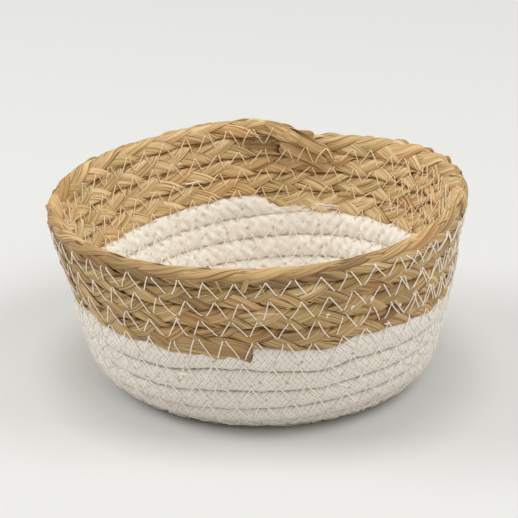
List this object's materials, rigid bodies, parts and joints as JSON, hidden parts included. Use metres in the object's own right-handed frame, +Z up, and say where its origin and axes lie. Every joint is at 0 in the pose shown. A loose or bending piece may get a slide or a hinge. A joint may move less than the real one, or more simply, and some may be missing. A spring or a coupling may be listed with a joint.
{
  "type": "coiled basket",
  "caption": "Round bowl-shaped storage basket coiled from cotton rope below and reed plait above, sewn turn to turn with zigzag thread.",
  "frame": {"origin": "middle of the bottom, on the surface that the basket stands on", "axes": "+Z up through the mouth, -Y towards the pictured front, +X to its right"},
  "size_m": [0.2012, 0.2004, 0.095],
  "materials": {
    "cotton": "soft braided cotton rope, undyed warm white",
    "reed": "dry golden reed leaf in a flat plait",
    "thread": "smooth cream sewing thread"
  },
  "bodies": {
    "root": {"cotton_rope": "cotton", "reed_plait": "reed", "needle_thread_cotton": "thread", "bobbin_thread_cotton": "thread", "needle_thread_reed": "thread", "bobbin_thread_reed": "thread"}
  },
  "joints": []
}
